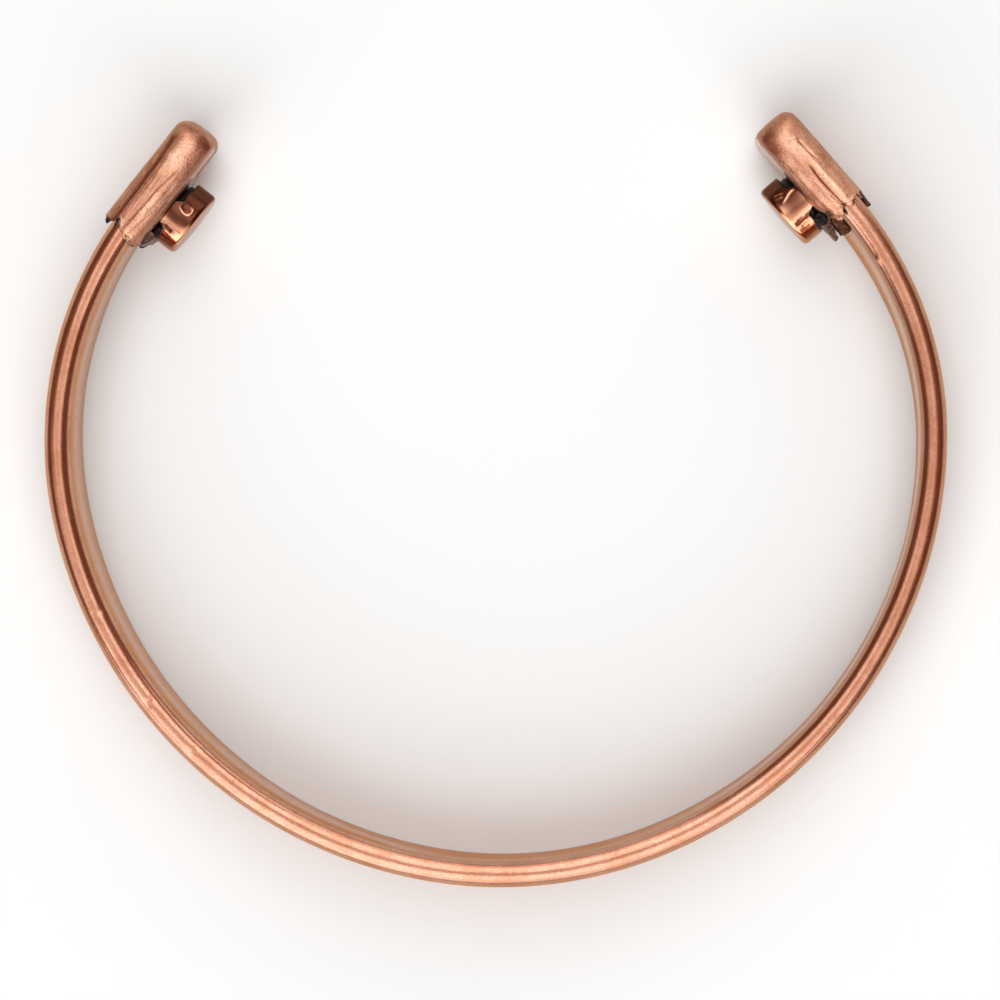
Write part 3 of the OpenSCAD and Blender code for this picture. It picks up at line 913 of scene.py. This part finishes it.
def strip_tree():
    """Sweeps a rounded section along the strip's route and gives it a slightly uneven surface."""
    group = bpy.data.node_groups.new("bent_strip", "GeometryNodeTree")
    face = group.interface
    face.new_socket("Route", in_out="INPUT", socket_type="NodeSocketGeometry")
    for label in STRIP_SIZES:
        face.new_socket(label, in_out="INPUT", socket_type="NodeSocketFloat")
    face.new_socket("Finish", in_out="INPUT", socket_type="NodeSocketMaterial")
    face.new_socket("Strip", in_out="OUTPUT", socket_type="NodeSocketGeometry")
    tree = Tree(group)
    given = tree.add("NodeGroupInput", output="Route")

    curve = tree.add("GeometryNodeMeshToCurve", None, {0: given})
    curve = tree.add("GeometryNodeSetCurveNormal", {"mode": "Z_UP"}, {0: curve})
    along = tree.add("GeometryNodeSplineParameter", output="Length")
    route = tree.add(
        "GeometryNodeCaptureAttribute", {"captures": [("FLOAT", "Along")]},
        {"Geometry": curve, "Along": along}, output="Geometry",
    )

    section = tree.add(
        "GeometryNodeCurvePrimitiveQuadrilateral", {"mode": "RECTANGLE"},
        {"Width": given["Thickness"], "Height": given["Width"]},
    )
    section = tree.add(
        "GeometryNodeFilletCurve", {"mode": "POLY"},
        {"Curve": section, "Count": 6, "Radius": given["Edge radius"]},
    )
    section = tree.add("GeometryNodeSubdivideCurve", None, {"Curve": section, "Cuts": 2})
    corner = tree.add("GeometryNodeInputPosition")
    x = tree.add("ShaderNodeSeparateXYZ", None, {0: corner}, output="X")
    share = x * 2 * (given["Thickness"] ** -1)
    side = x.math("SIGN", x["Y"])
    fall = given["Crown"] * (share * share) * side * -1
    drop = tree.add("ShaderNodeCombineXYZ", None, {"Y": fall})
    section = tree.add("GeometryNodeSetPosition", None, {"Geometry": section, "Offset": drop})
    shape = tree.add(
        "GeometryNodeCaptureAttribute", {"captures": [("VECTOR", "Place")]},
        {"Geometry": section, "Place": corner}, output="Geometry",
    )

    swept = tree.add(
        "GeometryNodeCurveToMesh", None, {"Curve": route, "Profile Curve": shape, "Fill Caps": True},
    )
    across = tree.add("ShaderNodeSeparateXYZ", None, {0: shape["Place"]}, output="X")
    grain = tree.add(
        "ShaderNodeCombineXYZ", None, {0: route["Along"], 1: across, 2: across["Y"]},
    )
    swept = tree.add(
        "GeometryNodeStoreNamedAttribute", {"data_type": "FLOAT_VECTOR", "domain": "POINT"},
        {"Geometry": swept, "Name": "grain", "Value": grain},
    )
    waves = tree.noise(tree.stretch(grain, (110, 520, 520)), detail=1, roughness=0.5)
    normal = tree.add("GeometryNodeInputNormal")
    offset = tree.add(
        "ShaderNodeVectorMath", {"operation": "SCALE"},
        {0: normal, "Scale": (waves - 0.5) * given["Unevenness"]},
    )
    swept = tree.add("GeometryNodeSetPosition", None, {"Geometry": swept, "Offset": offset})
    swept = tree.add("GeometryNodeSetShadeSmooth", None, {"Geometry": swept})
    swept = tree.add("GeometryNodeRealizeInstances", None, {"Geometry": swept})
    swept = tree.add("GeometryNodeSetMaterial", None, {"Geometry": swept, "Material": given["Finish"]})
    tree.add("NodeGroupOutput", None, {"Strip": swept})
    return group


def swept_strip():
    """The strip's object, with the swept mesh in it."""
    middle = STRIP_SIZES["Thickness"] / 2 - STRIP_SWELL
    points, at, way = strip_route(middle)
    start = points[0] - (LEFT.reach - TIP_WALL - 0.1) * heading(START_HEADING)
    finish = at + middle * left_of(way)
    points = [start] + points + [finish, finish + (RIGHT.reach - TIP_WALL - 0.1) * heading(way)]
    steps = [(k, k + 1) for k in range(len(points) - 1)]
    mesh = bpy.data.meshes.new("band_finish")
    mesh.from_pydata([(x * MM, y * MM, MID_HEIGHT * MM) for x, y in points], steps, [])
    piece = new_object("band_finish", mesh)
    sweep = piece.modifiers.new("sweep", "NODES")
    sweep.node_group = strip_tree()
    given = {label: size * MM for label, size in STRIP_SIZES.items()}
    given["Finish"] = FINISHES["band_copper"]
    for socket in sweep.node_group.interface.items_tree:
        if socket.name in given:
            sweep[socket.identifier] = given[socket.name]
    seen = piece.evaluated_get(bpy.context.evaluated_depsgraph_get())
    swept = bpy.data.meshes.new_from_object(seen)
    piece.modifiers.clear()
    piece.data = swept
    return piece


def vectors(data, field):
    """A mesh's vectors, one a row."""
    values = np.empty(len(data) * 3, np.float32)
    data.foreach_get(field, values)
    return values.reshape(-1, 3)


def twist(places, x, y, height):
    """Leans the strip's floor edge in or out, as the table says."""
    clock = np.arctan2(y - WRIST_AT[1], x - WRIST_AT[0])
    degrees = np.degrees(clock) % 360
    lean = np.interp(np.where(degrees < 90, degrees + 360, degrees), *np.array(TWIST).T)
    inwards = lean * (0.5 - height / STRIP_SIZES["Width"]) * MM
    places[:, 0] -= np.cos(clock) * inwards
    places[:, 1] -= np.sin(clock) * inwards


def painted_shadow_on(places):
    """How dark the painted shadow on the strip is at places in metres."""
    shadowed = np.zeros(len(places))
    for end, from_tip, from_outer, reach in MOUTH_SHADOWS:
        centre = end.place(np.array([from_tip, from_outer, MOUTH_SHADOW_HEIGHT]))
        away = np.linalg.norm(places - centre, axis=1) / MM
        shadowed = np.maximum(shadowed, rise(away, reach * 1.4, reach * 0.6))
    return shadowed


def film_on(x, height):
    """How thick the film on the strip's inner face is: a zone along its middle on the left, with a pale
    line over it, which rises past the left side and widens downwards on the right."""
    past_left = rise(x, -16, 0)
    top = 2.2 + 1.6 * past_left
    low = -1.6 + 2.4 * past_left - 1.8 * rise(x, 5, 25)
    zone = rise(height, low, low + 1.4) * (1 - rise(height, top - 0.1, top + 0.3))
    pale_line = (1 - past_left) * np.exp(-(((height - top) / 0.2) ** 2))
    return 0.25 - 0.2 * past_left + 0.8 * zone + 0.35 * pale_line


def knock(mesh, knocks):
    """Presses small knocks into a mesh."""
    points = vectors(mesh.vertices, "co")
    normals = vectors(mesh.vertex_normals, "vector")
    for x, y, height, radius, depth in knocks:
        away = np.linalg.norm(points - np.array([x, y, height]) * MM, axis=1)
        sink = depth * MM * np.exp(-((away / (radius * MM)) ** 2))
        points = points - normals * sink[:, None]
    mesh.vertices.foreach_set("co", points.ravel())
    mesh.update()


def strip():
    """The bent strip: swept, then twisted, shaded and knocked."""
    piece = swept_strip()
    mesh = piece.data
    places = vectors(mesh.vertices, "co")
    across = vectors(mesh.attributes["grain"].data, "vector")[:, 1] / MM
    x, y, height = places.T / MM
    height = height - MID_HEIGHT
    twist(places, x, y, height)
    mesh.vertices.foreach_set("co", places.ravel())
    mesh.update()
    on_inner_face = rise(-across, 0.6, 0.9)
    on_outer_face = rise(across, 0.6, 0.9)
    film = film_on(x, height)
    paint(mesh, {
        # The strip is painted black as shadow where it runs into the mouths.
        "oxide_and_shadow": painted_shadow_on(places),
        "brown": 0.14 * rise(x, 12, 30) + 0.3 * on_inner_face * film,
        "film": on_inner_face * film + 0.3 * on_outer_face,
    })
    mesh.set_sharp_from_angle(angle=SHARP_FROM)
    knock(mesh, KNOCKS)
    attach(piece, "root")
    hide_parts("band")


def camera():
    at = Vector(CAMERA_AT) * MM
    back = (at - Vector(CAMERA_TARGET) * MM).normalized()
    right = Vector((0, 1, 0)).cross(back).normalized()
    up = back.cross(right)
    data = bpy.data.cameras.new("camera")
    data.sensor_width = 36
    data.lens = CAMERA_LENS
    data.clip_start = 0.01
    data.clip_end = 20
    seen_by = new_object("camera", data)
    seen_by.matrix_world = Matrix.Translation(at) @ Matrix((right, up, back)).transposed().to_4x4()
    bpy.context.scene.camera = seen_by


def softbox(name, start, end, left, right, brightness, colour):
    """A soft panel a metre away that faces the cuff. start and end are its angles from straight above
    towards +Y, and left and right the angles of its two sides towards +X."""
    middle = math.radians(start + end) / 2
    left, right = math.tan(math.radians(left)), math.tan(math.radians(right))
    data = bpy.data.lights.new(name, "AREA")
    data.shape = "RECTANGLE"
    data.size = right - left
    data.size_y = 2 * math.tan(math.radians(end - start) / 2)
    data.energy = brightness * math.pi * data.size * data.size_y
    data.color = colour
    across = Vector((1, 0, 0))
    away = Vector((0, math.sin(middle), math.cos(middle)))
    turned = Matrix((across, away.cross(across), away)).transposed().to_4x4()
    new_object(name, data).matrix_world = Matrix.Translation(away + across * (left + right) / 2) @ turned


def studio():
    """A pale floor, the lamps, and a warm room that only the copper mirrors."""
    pale_floor()
    bpy.ops.mesh.primitive_plane_add(size=FLOOR_SIZE)
    floor = bpy.context.active_object
    floor.name = "floor"
    floor.data.materials.append(FINISHES["pale_floor"])
    for lamp in LAMPS:
        softbox(*lamp)
    world = bpy.data.worlds.new("room")
    world.use_nodes = True
    room = world.node_tree.nodes["Background"]
    Tree(world.node_tree).fill(room, {"Color": ROOM_TINT, "Strength": 1})
    world.cycles_visibility.diffuse = False
    bpy.context.scene.world = world
    bpy.context.scene.view_settings.view_transform = "Standard"


camera()
studio()
copper(
    "band_copper", bright=(0.56, 0.315, 0.225), deep=(0.47, 0.235, 0.15), pale=(0.85, 0.88, 0.92),
    brown_and_shade=(0.2, 0.075, 0.04), edge=(1, 0.56, 0.24), rough=(0.16, 0.25),
    brushed=0.000003, grained=0.000006, patches=0.35, streaked=0.3, speckled=0.3,
)
copper(
    "cap_copper", bright=(0.72, 0.42, 0.29), deep=(0.52, 0.27, 0.175), pale=(0.98, 0.73, 0.54),
    brown_and_shade=(0.22, 0.08, 0.045), edge=(0.6, 0.45, 0.36), rough=(0.24, 0.36),
    brushed=0.000014, grained=0.00005, patches=0.45, streaked=0.5, speckled=0.45,
)
copper(
    "cup_copper", bright=(0.88, 0.47, 0.3), deep=(0.8, 0.4, 0.25), pale=(0.5, 0.42, 0.37),
    brown_and_shade=(0.105, 0.038, 0.022), edge=(0.62, 0.54, 0.5), rough=(0.06, 0.13),
    brushed=0.0000002, grained=0.000001, patches=0.1, streaked=0, speckled=0,
)
magnet_black()
strip()
cap(
    "end_cap_left", LEFT, mouth=LEFT_MOUTH, lip_cut=(2.6, 0.8, 0.9),
    top=(LEFT_LINES, LEFT_HOLLOWS), under=(RIGHT_LINES, RIGHT_HOLLOWS), painted_light=LEFT_PAINTED_LIGHT,
    leans=(-0.35, 0), bite=0, seed=11,
)
cap(
    "end_cap_right", RIGHT, mouth=RIGHT_MOUTH, lip_cut=(0.8, 2.2, 1.2),
    top=(RIGHT_LINES, RIGHT_HOLLOWS), under=(LEFT_LINES, LEFT_HOLLOWS), painted_light=RIGHT_PAINTED_LIGHT,
    leans=(0.2, 0.2), bite=0.33, seed=31,
)
# The flaps are painted black and brown; on the square flap this is partly the shadow that it lies in.
torn_sheet("square_flap", RIGHT, SQUARE_FLAP, -2.6, 2.9, {"oxide_and_shadow": 0.65, "brown": 1}, 51)
torn_sheet("pointed_flap", RIGHT, POINTED_FLAP, -1.4, 2.3, {"oxide_and_shadow": 0.8, "brown": 0.8, "film": 0.5}, 61)
torn_sheet("corner_flap", LEFT, CORNER_FLAP, -2.4, 3, {"oxide_and_shadow": 0.9, "brown": 0.9, "film": 0.5}, 41)
cup("magnet_cup_left", LEFT, -TAB_TURN, LEFT_PLEATS, LEFT_BROWN_AND_SHADE, seed=71)
cup("magnet_cup_right", RIGHT, TAB_TURN, RIGHT_PLEATS, RIGHT_BROWN_AND_SHADE, seed=81)
magnet("magnet_left", LEFT, burr=(-60, 16, 0.3), seed=91)
magnet("magnet_right", RIGHT, burr=(-58, 26, 0.4), seed=95)
crumb("left_crumb", LEFT, centre=(8.05, 3.75, 1.3), sizes=(0.42, 0.27, 0.9), seed=101)
crumb("right_crumb", RIGHT, centre=(7.95, 3.62, 1.3), sizes=(0.66, 0.52, 1.1), seed=111)
